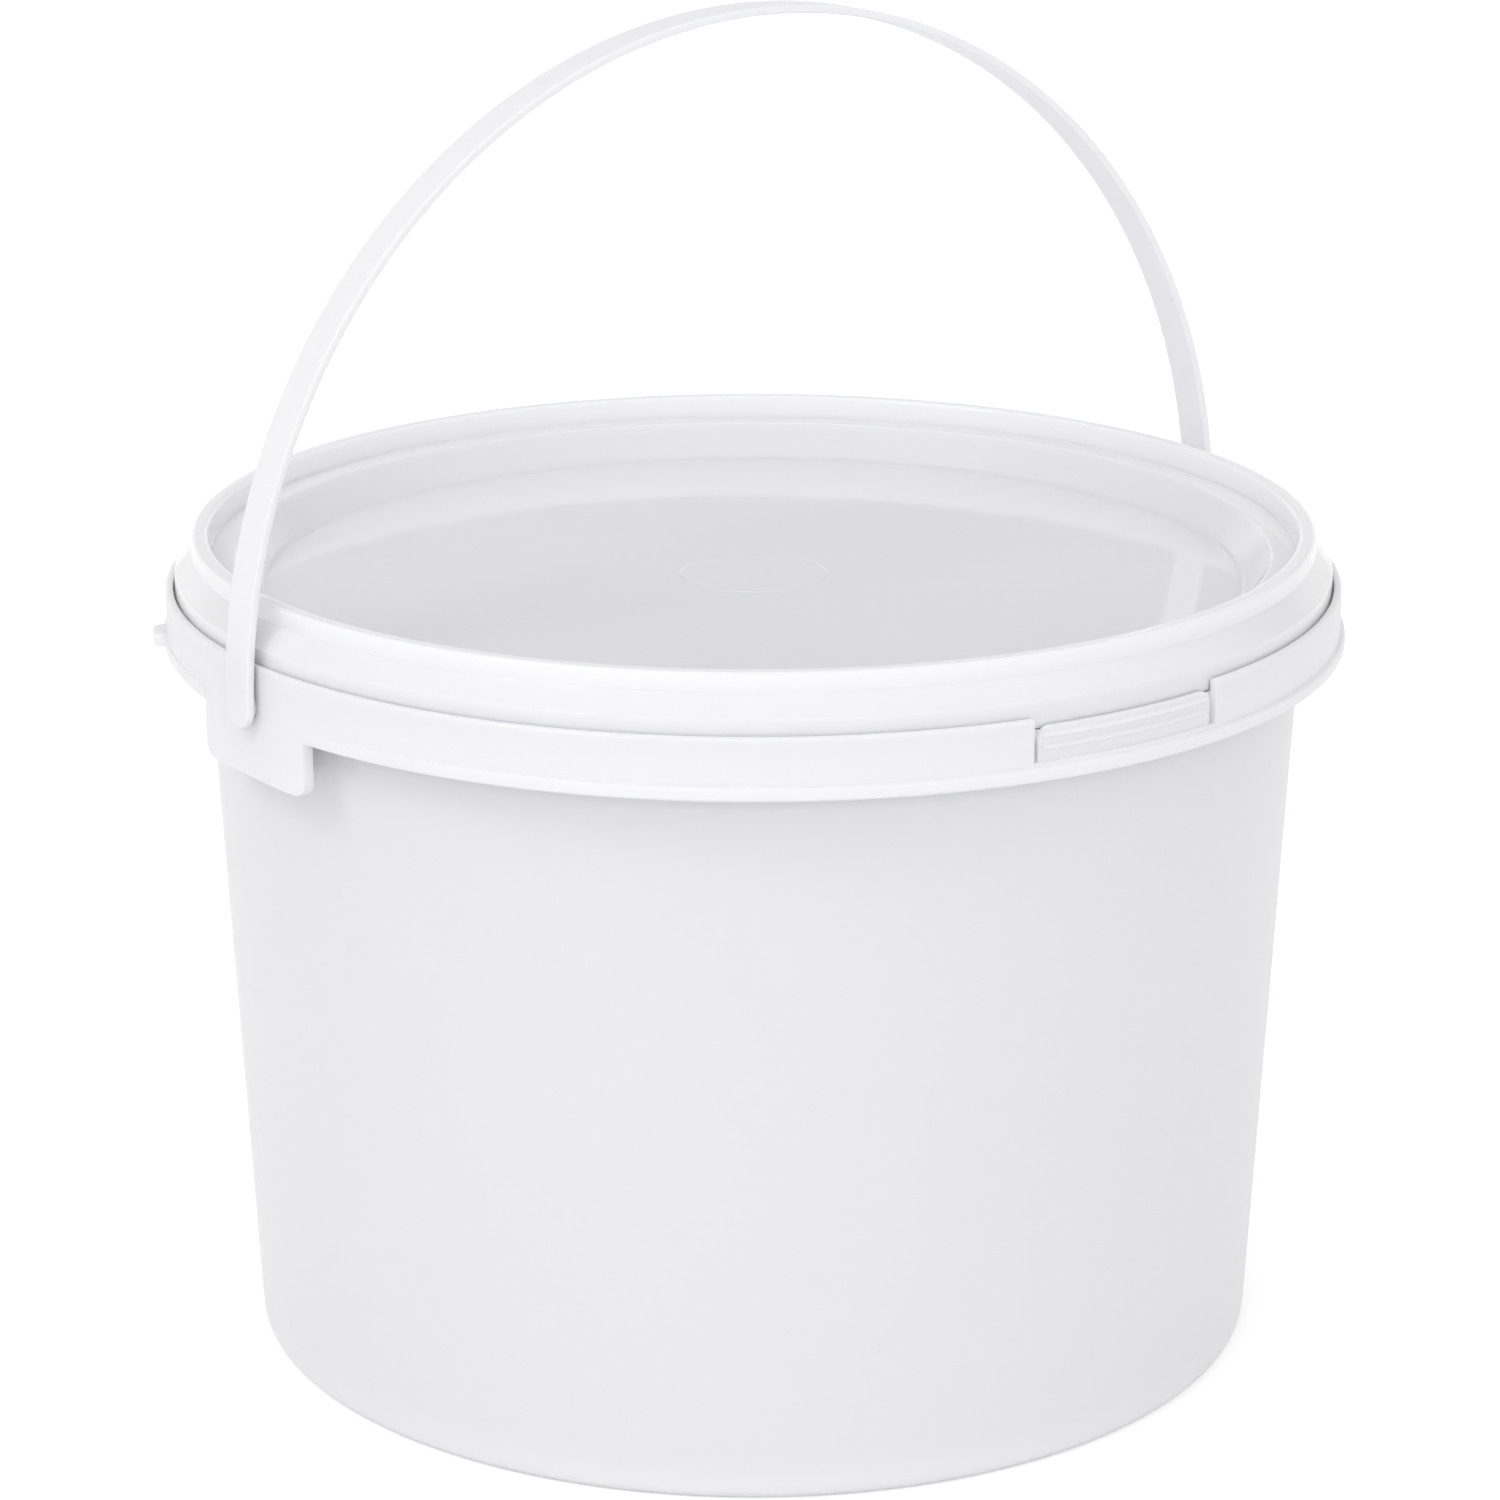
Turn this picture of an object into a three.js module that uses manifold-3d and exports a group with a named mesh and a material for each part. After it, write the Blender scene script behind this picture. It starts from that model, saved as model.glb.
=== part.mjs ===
// A round plastic pail, 3.4 litres, with a press-fit lid and a strip handle.
// Three mouldings: the bucket, the lid and the handle.
// Millimetres, +Z up, origin at the centre of the foot, handle axis along X, tear tab at -Y.
import * as THREE from "three";
import { mergeVertices } from "three/addons/utils/BufferGeometryUtils.js";
import Module from "manifold-3d";

// Driving dimensions of the bucket's wall and foot
const FOOT_RADIUS = 87.5;          // outside of the wall, carried down to the floor
const WALL_TOP_RADIUS = 93.8;      // outside of the wall at the collar's web
const WALL_THICKNESS = 1.1;
const FOOT_EDGE_RADIUS = 1.5;      // rounding between the wall and the foot
const FOOT_RING_WIDTH = 2.6;
const BASE_RECESS = 2.0;           // the base stands this far above the floor
const BASE_THICKNESS = 1.4;
const INNER_CORNER_RADIUS = 3.0;
const GATE_RADIUS = 3.2;           // round mark of the injection gate under the base
const GATE_DEPTH = 0.5;

// Driving dimensions of the rim and the collar
const RIM_HEIGHT = 136.0;
const RIM_BEAD_REACH = 1.4;        // how far the snap bead stands out of the wall
const RIM_BEAD_HEIGHT = 1.6;
const RIM_BEAD_SLOPE = 1.4;
const RIM_EDGE_RADIUS = 0.5;
const WEB_DROP = 5.7;              // from the rim down to the web that carries the collar
const WEB_THICKNESS = 1.2;
const COLLAR_REACH = 6.3;          // how far the collar stands out of the wall
const COLLAR_RISE = 2.4;           // above the web
const COLLAR_DEPTH = 7.5;          // from the web's top down to the collar's lower edge
const COLLAR_THICKNESS = 1.3;
const COLLAR_EDGE_RADIUS = 0.6;
const LIP_REACH = 0.9;             // how far the lip stands out of the collar
const LIP_HEIGHT = 2.2;

// Driving dimensions of the ears
const EAR_HALF_WIDTH = 15.4;
const EAR_DEPTH = 9.2;             // from the collar's lower edge down to the apron's
const EAR_CORNER_RADIUS = 2.4;
const EAR_THICKNESS = 1.8;
const EAR_FLAT_HALF_WIDTH = 9.5;   // the flat face that the handle turns on
const EAR_RIB_SPACING = 13.0;
const EAR_RIB_THICKNESS = 1.2;
const EAR_RIB_LIFT = 1.5;          // the ribs end this far above the apron's lower edge

// Driving dimensions of the tear tab and the tongue on the lip
const TAB_HALF_ANGLE = 10.6;
const TAB_SLIT_WIDTH = 0.9;
const TAB_SLIT_LIFT = 0.7;         // the slits end this far above the lip
const TAB_TOP_DROP = 1.4;          // the tab's top edge lies below the collar's
const TAB_CORNER_RADIUS = 2.2;
const TAB_RECESS = 0.5;
const TAB_RIB_COUNT = 2;
const TAB_RIB_HEIGHT = 0.9;
const TAB_RIB_PITCH = 1.9;
const TAB_RIB_START = 0.9;         // from the tab's top edge down to its first rib
const TAB_RIB_INSET = 0.4;         // in degrees, from the tab's ends
const TAB_RIB_DRAFT = 0.2;
const TONGUE_ANGLE = 28.4;         // behind the ear, seen from the axis
const TONGUE_REACH = 1.4;
const TONGUE_LENGTH = 6.0;
const TONGUE_HEIGHT = 2.2;
const TONGUE_LIFT = 0.4;           // above the lip's lower edge

// Driving dimensions of the lid
const LID_THICKNESS = 1.1;
const PANEL_DROP = 5.9;            // from the ledge down to the panel
const PANEL_SLOPE_RUN = 4.1;       // how far the wall between them leans
const PANEL_DISC_RADIUS = 12.4;    // faint raised disc in the middle of the panel
const PANEL_DISC_HEIGHT = 0.15;
const LEDGE_WIDTH = 4.7;
const LEDGE_RISE = 1.5;            // above the bucket's rim
const RING_WIDTH = 2.9;            // the ring that the next pail stands in
const RING_RISE = 4.1;             // above the ledge
const RING_EDGE_RADIUS = 0.6;
const SHOULDER_RISE = 1.1;         // above the ledge
const SHOULDER_DROP = 3.5;         // from the ring down to the skirt
const SKIRT_GAP = 0.5;             // between the lid's skirt and the collar
const SKIRT_LIFT = 0.5;            // between the skirt's lower edge and the web
const SKIRT_EDGE = 0.4;            // small slope between the shoulder and the skirt
const LEDGE_EDGE = 0.5;            // small slope between the sloped wall and the ledge
const SNAP_LEG_THICKNESS = 1.0;
const SNAP_LEG_LIFT = 0.9;         // the snap leg ends this far above the skirt
const SNAP_HOOK_HEIGHT = 2.2;
const SNAP_HOOK_TIP = 0.7;
const SNAP_UNDERCUT = 0.7;
const PLUG_DEPTH = 3.1;
const PLUG_THICKNESS = 1.1;
const SEAT_GAP = 0.3;              // between the lid and the rim

// Driving dimensions of the handle
const HANDLE_WIDTH = 7.1;
const HANDLE_THICKNESS = 1.4;
const HANDLE_GAP = 0.4;            // between the strip and the collar beside the ears
const HANDLE_SLACK = 0.8;          // between the folded arch and the lip, opposite the axis
const HANDLE_EDGE = 0.3;
const PIVOT_DROP = 4.7;            // from the web's top down to the studs
const STUD_RADIUS = 2.4;
const STUD_CLEARANCE = 0.15;
const STUD_HEAD_RADIUS = 3.4;
const STUD_HEAD_THICKNESS = 1.1;
const STUD_HEAD_CHAMFER = 0.6;
const STUD_HEAD_GAP = 0.3;         // between the stud's head and the back of the ear
const LIP_CLEARANCE = 0.15;        // between the folded handle and the lip

// Fineness of the curves
const TURN_STEPS = 80;
const ARCH_STEPS = 40;
const STUD_STEPS = 24;
const EAR_CORNER_STEPS = 5;
const TONGUE_STEPS = 4;
const FILLET_STEPS = 3;
const SMALL_FILLET_STEPS = 2;

// How far a cutting shape reaches past what it cuts
const CUT_MARGIN = 1.0;
const CUT_FILM = 0.01;

const wasm = await Module();
wasm.setup();

function toSolid(geometry) {
  const bare = geometry.clone();
  bare.deleteAttribute("normal");
  bare.deleteAttribute("uv");
  const merged = mergeVertices(bare, 1e-5);
  const mesh = new wasm.Mesh({
    numProp: 3,
    vertProperties: new Float32Array(merged.attributes.position.array),
    triVerts: new Uint32Array(merged.index.array),
  });
  return new wasm.Manifold(mesh);
}

function toGeometry(solid) {
  const mesh = solid.getMesh();
  const geometry = new THREE.BufferGeometry();
  geometry.setAttribute("position", new THREE.BufferAttribute(new Float32Array(mesh.vertProperties), 3));
  geometry.setIndex(new THREE.BufferAttribute(new Uint32Array(mesh.triVerts), 1));
  geometry.computeVertexNormals();
  return geometry;
}

// Turns a profile of [radius, height] points about the Z axis.
function turned(points, steps = TURN_STEPS) {
  const geometry = new THREE.LatheGeometry(points.map(([r, z]) => new THREE.Vector2(r, z)), steps);
  return geometry.rotateX(Math.PI / 2);
}

// A profile is listed from the axis outward along its top and back along its underside, or as a ring.
function turnedSolid(points, steps = TURN_STEPS) {
  const solid = toSolid(turned(points, steps));
  if (solid.volume() > 0) {
    return solid;
  }
  return toSolid(turned([...points].reverse(), steps));
}

function ring(innerRadius, outerRadius, bottom, top) {
  return turnedSolid([
    [innerRadius, bottom],
    [outerRadius, bottom],
    [outerRadius, top],
    [innerRadius, top],
    [innerRadius, bottom],
  ]);
}

// A box given by its lowest and highest corners.
function block(low, high) {
  const geometry = new THREE.BoxGeometry(high[0] - low[0], high[1] - low[1], high[2] - low[2]);
  geometry.translate((low[0] + high[0]) / 2, (low[1] + high[1]) / 2, (low[2] + high[2]) / 2);
  return toSolid(geometry);
}

// An arc of profile points about a centre, from one angle to another in degrees.
function arc(centreR, centreZ, radius, from, to, steps = FILLET_STEPS) {
  const points = [];
  for (let i = 0; i <= steps; i += 1) {
    const angle = THREE.MathUtils.degToRad(from + (to - from) * i / steps);
    points.push([centreR + radius * Math.cos(angle), centreZ + radius * Math.sin(angle)]);
  }
  return points;
}

// Places that follow from the driving dimensions
const BASE_TOP = BASE_RECESS + BASE_THICKNESS;
const RIM_INNER_RADIUS = WALL_TOP_RADIUS - WALL_THICKNESS;
const RIM_BEAD_RADIUS = WALL_TOP_RADIUS + RIM_BEAD_REACH;
const WEB_TOP = RIM_HEIGHT - WEB_DROP;
const WEB_BOTTOM = WEB_TOP - WEB_THICKNESS;
const COLLAR_RADIUS = WALL_TOP_RADIUS + COLLAR_REACH;
const COLLAR_INNER_RADIUS = COLLAR_RADIUS - COLLAR_THICKNESS;
const COLLAR_TOP = WEB_TOP + COLLAR_RISE;
const LIP_RADIUS = COLLAR_RADIUS + LIP_REACH;
const LIP_BOTTOM = WEB_TOP - COLLAR_DEPTH;
const LIP_TOP = LIP_BOTTOM + LIP_HEIGHT;
const EAR_BOTTOM = LIP_BOTTOM - EAR_DEPTH;
const EAR_FLAT = Math.sqrt(COLLAR_RADIUS ** 2 - EAR_FLAT_HALF_WIDTH ** 2);
const EAR_INNER_RADIUS = COLLAR_RADIUS - EAR_THICKNESS;
const PIVOT_HEIGHT = WEB_TOP - PIVOT_DROP;
const HANDLE_INNER_REACH = COLLAR_RADIUS + HANDLE_GAP;
const HANDLE_OUTER_REACH = HANDLE_INNER_REACH + HANDLE_THICKNESS;
const HANDLE_INNER_RISE = LIP_RADIUS + HANDLE_SLACK;
const HANDLE_RISE = HANDLE_INNER_RISE + HANDLE_THICKNESS;

function wallRadius(height) {
  return FOOT_RADIUS + (WALL_TOP_RADIUS - FOOT_RADIUS) * Math.min(height / WEB_TOP, 1);
}

// Bucket: the wall, foot, rim and collar in one turn
function bucketShell() {
  const footOuter = FOOT_RADIUS - FOOT_EDGE_RADIUS;
  const footInner = footOuter - FOOT_RING_WIDTH;
  const innerFoot = wallRadius(BASE_TOP) - WALL_THICKNESS;
  const beadTop = RIM_HEIGHT - RIM_EDGE_RADIUS;
  const beadBottom = beadTop - RIM_BEAD_HEIGHT + RIM_EDGE_RADIUS;
  const lipRound = LIP_REACH / 2;
  return turnedSolid([
    [0, BASE_TOP],
    ...arc(innerFoot - INNER_CORNER_RADIUS, BASE_TOP + INNER_CORNER_RADIUS, INNER_CORNER_RADIUS, -90, 0),
    [RIM_INNER_RADIUS, WEB_TOP],
    ...arc(RIM_INNER_RADIUS + RIM_EDGE_RADIUS, beadTop, RIM_EDGE_RADIUS, 180, 90),
    ...arc(RIM_BEAD_RADIUS - RIM_EDGE_RADIUS, beadTop, RIM_EDGE_RADIUS, 90, 0),
    [RIM_BEAD_RADIUS, beadBottom],
    [WALL_TOP_RADIUS, beadBottom - RIM_BEAD_SLOPE],
    [WALL_TOP_RADIUS, WEB_TOP],
    [COLLAR_INNER_RADIUS, WEB_TOP],
    [COLLAR_INNER_RADIUS, COLLAR_TOP - COLLAR_EDGE_RADIUS / 2],
    [COLLAR_INNER_RADIUS + COLLAR_EDGE_RADIUS / 2, COLLAR_TOP],
    ...arc(COLLAR_RADIUS - COLLAR_EDGE_RADIUS, COLLAR_TOP - COLLAR_EDGE_RADIUS, COLLAR_EDGE_RADIUS, 90, 0),
    [COLLAR_RADIUS, LIP_TOP],
    ...arc(LIP_RADIUS - lipRound, LIP_TOP - lipRound, lipRound, 90, 0, SMALL_FILLET_STEPS),
    ...arc(LIP_RADIUS - lipRound, LIP_BOTTOM + lipRound, lipRound, 0, -90, SMALL_FILLET_STEPS),
    [COLLAR_INNER_RADIUS, LIP_BOTTOM],
    [COLLAR_INNER_RADIUS, WEB_BOTTOM],
    [wallRadius(WEB_BOTTOM), WEB_BOTTOM],
    [wallRadius(2 * FOOT_EDGE_RADIUS), 2 * FOOT_EDGE_RADIUS],
    ...arc(footOuter, FOOT_EDGE_RADIUS, FOOT_EDGE_RADIUS, 0, -90),
    [footInner, 0],
    [footInner - BASE_RECESS / 2, BASE_RECESS],
    [GATE_RADIUS, BASE_RECESS],
    [GATE_RADIUS, BASE_RECESS - GATE_DEPTH],
    [0, BASE_RECESS - GATE_DEPTH],
  ]);
}

// A plate that faces along X: a rectangle with rounded lower corners, pushed from one x to another.
function earOutline(halfWidth, bottom, top, cornerRadius, xFrom, xTo) {
  const shape = new THREE.Shape();
  shape.moveTo(-halfWidth, top);
  shape.lineTo(-halfWidth, bottom + cornerRadius);
  const cornerY = halfWidth - cornerRadius;
  const cornerZ = bottom + cornerRadius;
  shape.absarc(-cornerY, cornerZ, cornerRadius, Math.PI, 1.5 * Math.PI, false);
  shape.absarc(cornerY, cornerZ, cornerRadius, 1.5 * Math.PI, 2 * Math.PI, false);
  shape.lineTo(halfWidth, top);
  const geometry = new THREE.ExtrudeGeometry(shape, {
    depth: xTo - xFrom,
    bevelEnabled: false,
    curveSegments: EAR_CORNER_STEPS,
  });
  geometry.rotateX(Math.PI / 2);
  geometry.rotateZ(Math.PI / 2);
  geometry.translate(xFrom, 0, 0);
  return toSolid(geometry);
}

// The ear at +X: an apron below the collar, a flat face, the stud's hole and two ribs behind
function addEar(bucket) {
  const reach = LIP_RADIUS + CUT_MARGIN;
  const lipCut = ring(COLLAR_RADIUS, reach, LIP_BOTTOM - CUT_MARGIN, LIP_TOP + CUT_MARGIN)
    .intersect(block([0, -EAR_HALF_WIDTH, LIP_BOTTOM - CUT_MARGIN],
      [reach, EAR_HALF_WIDTH, LIP_TOP + CUT_MARGIN]));
  const ribTop = WEB_BOTTOM + WEB_THICKNESS / 2;
  const apron = earOutline(EAR_HALF_WIDTH, EAR_BOTTOM, ribTop, EAR_CORNER_RADIUS, 0, reach)
    .intersect(ring(EAR_INNER_RADIUS, COLLAR_RADIUS, EAR_BOTTOM - CUT_MARGIN, WEB_TOP));
  const flatEdge = EAR_FLAT_HALF_WIDTH + CUT_MARGIN;
  const flatCut = block([EAR_FLAT, -flatEdge, EAR_BOTTOM - CUT_MARGIN],
    [reach, flatEdge, COLLAR_TOP + CUT_MARGIN]);
  const holeRadius = STUD_RADIUS + STUD_CLEARANCE;
  const holeDepth = 2 * (EAR_THICKNESS + CUT_MARGIN);
  const holeGeometry = new THREE.CylinderGeometry(holeRadius, holeRadius, holeDepth, STUD_STEPS);
  holeGeometry.rotateZ(Math.PI / 2);
  holeGeometry.translate(EAR_FLAT, 0, PIVOT_HEIGHT);
  let ear = bucket.subtract(lipCut).add(apron);
  for (const side of [-1, 1]) {
    const ribY = side * EAR_RIB_SPACING / 2;
    const ribFoot = EAR_BOTTOM + EAR_RIB_LIFT;
    const rib = block(
      [wallRadius(ribFoot) - WALL_THICKNESS / 2, ribY - EAR_RIB_THICKNESS / 2, ribFoot],
      [EAR_INNER_RADIUS + EAR_THICKNESS / 4, ribY + EAR_RIB_THICKNESS / 2, ribTop]);
    ear = ear.add(rib);
  }
  return ear.subtract(flatCut).subtract(toSolid(holeGeometry));
}

// A wedge between two angles, measured from -Y towards +X in degrees
function sector(fromAngle, toAngle, bottom, top) {
  const reach = 2 * COLLAR_RADIUS;
  const shape = new THREE.Shape();
  const point = (angle) => {
    const turn = THREE.MathUtils.degToRad(angle);
    return [reach * Math.sin(turn), -reach * Math.cos(turn)];
  };
  shape.moveTo(0, 0);
  shape.lineTo(...point(fromAngle));
  shape.lineTo(...point(toAngle));
  const geometry = new THREE.ExtrudeGeometry(shape, { depth: top - bottom, bevelEnabled: false });
  geometry.translate(0, 0, bottom);
  return toSolid(geometry);
}

// What rounds off the tab's upper corner on one side: a square with a cylinder taken out of it
function tabCorner(side, halfAngle, top) {
  const radius = TAB_CORNER_RADIUS;
  const reach = LIP_RADIUS + CUT_MARGIN;
  const near = COLLAR_INNER_RADIUS - CUT_MARGIN;
  const square = block([Math.min(0, side * radius), -reach, top - radius],
    [Math.max(0, side * radius), -near, top + CUT_MARGIN]);
  const round = new THREE.CylinderGeometry(radius, radius, 2 * reach, STUD_STEPS);
  round.translate(0, 0, top - radius);
  const centre = halfAngle - THREE.MathUtils.radToDeg(radius / COLLAR_RADIUS);
  return square.subtract(toSolid(round)).rotate([0, 0, side * centre]);
}

// The tear tab: a stretch of the collar between two slits, lower at its top, with grip ribs
function cutTab(bucket) {
  const slitAngle = THREE.MathUtils.radToDeg(TAB_SLIT_WIDTH / COLLAR_RADIUS);
  const innerHalf = TAB_HALF_ANGLE - slitAngle;
  const tabTop = COLLAR_TOP - TAB_TOP_DROP;
  const slitBottom = LIP_TOP + TAB_SLIT_LIFT;
  const cutTop = COLLAR_TOP + CUT_MARGIN;
  const reach = LIP_RADIUS + CUT_MARGIN;
  const band = ring(COLLAR_INNER_RADIUS - CUT_FILM, reach, slitBottom, cutTop);
  const face = ring(COLLAR_RADIUS - TAB_RECESS, reach, slitBottom, cutTop)
    .intersect(sector(-innerHalf, innerHalf, slitBottom, cutTop));
  let cut = band.intersect(sector(-innerHalf, innerHalf, tabTop, cutTop));
  for (const side of [-1, 1]) {
    const angles = [side * TAB_HALF_ANGLE, side * innerHalf].sort((a, b) => a - b);
    const slit = band.intersect(sector(...angles, slitBottom, cutTop));
    cut = cut.add(slit);
  }
  let tab = bucket.subtract(cut).subtract(face);
  for (let i = 0; i < TAB_RIB_COUNT; i += 1) {
    const ribTop = tabTop - TAB_RIB_START - i * TAB_RIB_PITCH;
    const ribBottom = ribTop - TAB_RIB_HEIGHT;
    const ribRoot = COLLAR_RADIUS - TAB_RECESS - TAB_RIB_DRAFT;
    const ribHalf = innerHalf - TAB_RIB_INSET;
    const rib = turnedSolid([
      [ribRoot, ribBottom - TAB_RIB_DRAFT],
      [COLLAR_RADIUS, ribBottom],
      [COLLAR_RADIUS, ribTop - TAB_RIB_DRAFT],
      [ribRoot, ribTop],
      [ribRoot, ribBottom - TAB_RIB_DRAFT],
    ]).intersect(sector(-ribHalf, ribHalf, LIP_TOP, COLLAR_TOP));
    tab = tab.add(rib);
  }
  for (const side of [-1, 1]) {
    tab = tab.subtract(band.intersect(tabCorner(side, innerHalf, tabTop)));
  }
  return tab;
}

// The lip runs out towards the ears, so that the folded handle passes it.
function trimLip(bucket) {
  const reach = HANDLE_INNER_REACH - LIP_CLEARANCE;
  const rise = HANDLE_INNER_RISE - LIP_CLEARANCE;
  const shape = new THREE.Shape();
  shape.absarc(0, 0, HANDLE_INNER_RISE + CUT_MARGIN, 0, 2 * Math.PI, false);
  const hole = new THREE.Path();
  hole.absellipse(0, 0, reach, rise, 0, 2 * Math.PI, false);
  shape.holes.push(hole);
  const geometry = new THREE.ExtrudeGeometry(shape, {
    depth: LIP_HEIGHT + CUT_MARGIN,
    bevelEnabled: false,
    curveSegments: TURN_STEPS,
  });
  geometry.translate(0, 0, LIP_BOTTOM - CUT_MARGIN / 2);
  return bucket.subtract(toSolid(geometry));
}

// The tongue on the lip that the folded handle lies on, behind the ear on either side
function tongue(side) {
  const half = TONGUE_LENGTH / 2;
  const root = -COLLAR_THICKNESS / 2;
  const tip = LIP_REACH + TONGUE_REACH;
  const shape = new THREE.Shape();
  shape.moveTo(root, -half);
  shape.lineTo(tip - TONGUE_REACH, -half);
  shape.quadraticCurveTo(tip, -half, tip, -half + TONGUE_REACH);
  shape.lineTo(tip, half - TONGUE_REACH);
  shape.quadraticCurveTo(tip, half, tip - TONGUE_REACH, half);
  shape.lineTo(root, half);
  const geometry = new THREE.ExtrudeGeometry(shape, {
    depth: TONGUE_HEIGHT,
    bevelEnabled: false,
    curveSegments: TONGUE_STEPS,
  });
  geometry.translate(COLLAR_RADIUS, 0, LIP_BOTTOM + TONGUE_LIFT);
  geometry.rotateZ(THREE.MathUtils.degToRad(side > 0 ? TONGUE_ANGLE : 180 - TONGUE_ANGLE));
  return toSolid(geometry);
}

function makeBucket() {
  let bucket = addEar(cutTab(trimLip(bucketShell())));
  bucket = addEar(bucket.rotate([0, 0, 180])).rotate([0, 0, 180]);
  for (const side of [-1, 1]) {
    bucket = bucket.add(tongue(side));
  }
  return toGeometry(bucket);
}

// Lid: one turned moulding
function makeLid() {
  const skirtRadius = COLLAR_INNER_RADIUS - SKIRT_GAP;
  const skirtInner = skirtRadius - LID_THICKNESS;
  const skirtBottom = WEB_TOP + SKIRT_LIFT;
  const channelOuter = RIM_BEAD_RADIUS + SEAT_GAP;
  const legOuter = channelOuter + SNAP_LEG_THICKNESS;
  const legBottom = skirtBottom + SNAP_LEG_LIFT;
  const ceiling = RIM_HEIGHT + SEAT_GAP;
  const plugOuter = RIM_INNER_RADIUS - SEAT_GAP;
  const plugInner = plugOuter - PLUG_THICKNESS;
  const plugBottom = ceiling - PLUG_DEPTH;
  const snapRadius = RIM_BEAD_RADIUS - SNAP_UNDERCUT;
  const ledgeTop = RIM_HEIGHT + LEDGE_RISE;
  const ledgeUnder = ledgeTop - LID_THICKNESS;
  const panelTop = ledgeTop - PANEL_DROP;
  const ringInner = channelOuter - RING_WIDTH;
  const ledgeInner = ringInner - LEDGE_WIDTH;
  const panelRadius = ledgeInner - PANEL_SLOPE_RUN;
  const shoulderTop = ledgeTop + SHOULDER_RISE;
  const shoulderBottom = shoulderTop - SHOULDER_DROP;
  const edge = RING_EDGE_RADIUS;
  const edgeZ = ledgeTop + RING_RISE - edge;
  return toGeometry(turnedSolid([
    [0, panelTop + PANEL_DISC_HEIGHT],
    [PANEL_DISC_RADIUS, panelTop + PANEL_DISC_HEIGHT],
    [PANEL_DISC_RADIUS + PANEL_DISC_HEIGHT, panelTop],
    [panelRadius, panelTop],
    [ledgeInner, ledgeTop - LEDGE_EDGE],
    [ledgeInner + LEDGE_EDGE, ledgeTop],
    [ringInner, ledgeTop],
    ...arc(ringInner + edge, edgeZ, edge, 180, 90, SMALL_FILLET_STEPS),
    ...arc(channelOuter - edge, edgeZ, edge, 90, 0, SMALL_FILLET_STEPS),
    [channelOuter, shoulderTop],
    [skirtRadius - SKIRT_EDGE / 2, shoulderBottom],
    [skirtRadius, shoulderBottom - SKIRT_EDGE],
    [skirtRadius, skirtBottom],
    [skirtInner, skirtBottom],
    [skirtInner, shoulderBottom - LID_THICKNESS],
    [legOuter, shoulderBottom],
    [legOuter, legBottom],
    [snapRadius + SNAP_HOOK_TIP / 2, legBottom],
    [snapRadius, legBottom + SNAP_HOOK_TIP],
    [channelOuter, legBottom + SNAP_HOOK_HEIGHT],
    [channelOuter, ceiling],
    [plugOuter, ceiling],
    [plugOuter, plugBottom],
    [plugInner, plugBottom],
    [plugInner, ledgeUnder],
    [ledgeInner + LEDGE_EDGE, ledgeUnder],
    [panelRadius + LEDGE_EDGE, panelTop - LID_THICKNESS],
    [0, panelTop - LID_THICKNESS],
  ]));
}

// Handle: half an elliptical ring, rounded ends and a headed stud at each end
function makeHandle() {
  const innerReach = HANDLE_INNER_REACH;
  const outerReach = HANDLE_OUTER_REACH;
  const halfWidth = HANDLE_WIDTH / 2;
  const edge = HANDLE_EDGE;
  const shape = new THREE.Shape();
  shape.absellipse(0, 0, outerReach - edge, HANDLE_RISE - edge, 0, Math.PI, false);
  shape.absellipse(0, 0, innerReach + edge, HANDLE_INNER_RISE + edge, Math.PI, 0, true);
  const archGeometry = new THREE.ExtrudeGeometry(shape, {
    depth: HANDLE_WIDTH - 2 * edge,
    bevelThickness: edge,
    bevelSize: edge,
    bevelSegments: 1,
    curveSegments: ARCH_STEPS,
  });
  archGeometry.translate(0, 0, edge - halfWidth);
  archGeometry.rotateX(Math.PI / 2);
  archGeometry.translate(0, 0, PIVOT_HEIGHT);
  const below = block([-outerReach - CUT_MARGIN, -HANDLE_WIDTH, PIVOT_HEIGHT - CUT_MARGIN],
    [outerReach + CUT_MARGIN, HANDLE_WIDTH, PIVOT_HEIGHT]);
  let handle = toSolid(archGeometry).subtract(below);
  const headOuter = EAR_INNER_RADIUS - STUD_HEAD_GAP;
  const headInner = headOuter - STUD_HEAD_THICKNESS;
  for (const side of [-1, 1]) {
    const end = turnedSolid([
      [0, headInner],
      [STUD_HEAD_RADIUS - STUD_HEAD_CHAMFER, headInner],
      [STUD_HEAD_RADIUS, headInner + STUD_HEAD_CHAMFER],
      [STUD_HEAD_RADIUS, headOuter],
      [STUD_RADIUS, headOuter],
      [STUD_RADIUS, innerReach],
      [halfWidth - edge, innerReach],
      [halfWidth, innerReach + edge],
      [halfWidth, outerReach - edge],
      [halfWidth - edge, outerReach],
      [0, outerReach],
    ], STUD_STEPS);
    const placed = end.rotate([0, side * 90, 0]).translate([0, 0, PIVOT_HEIGHT]);
    handle = handle.add(placed);
  }
  return toGeometry(handle);
}

function piece(name, geometry, color, roughness) {
  const material = new THREE.MeshStandardMaterial({ color, roughness, metalness: 0 });
  const mesh = new THREE.Mesh(geometry, material);
  mesh.name = name;
  return mesh;
}

const group = new THREE.Group();
group.add(piece("bucket", makeBucket(), 0xeeeef1, 0.35));
group.add(piece("lid", makeLid(), 0xececef, 0.28));
group.add(piece("handle", makeHandle(), 0xf0f0f2, 0.35));

export default group;
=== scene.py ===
"""A white plastic pail with a press-fit lid and a strip handle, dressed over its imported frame."""
import math

import bmesh
import bpy
from mathutils import Matrix, Vector


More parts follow.
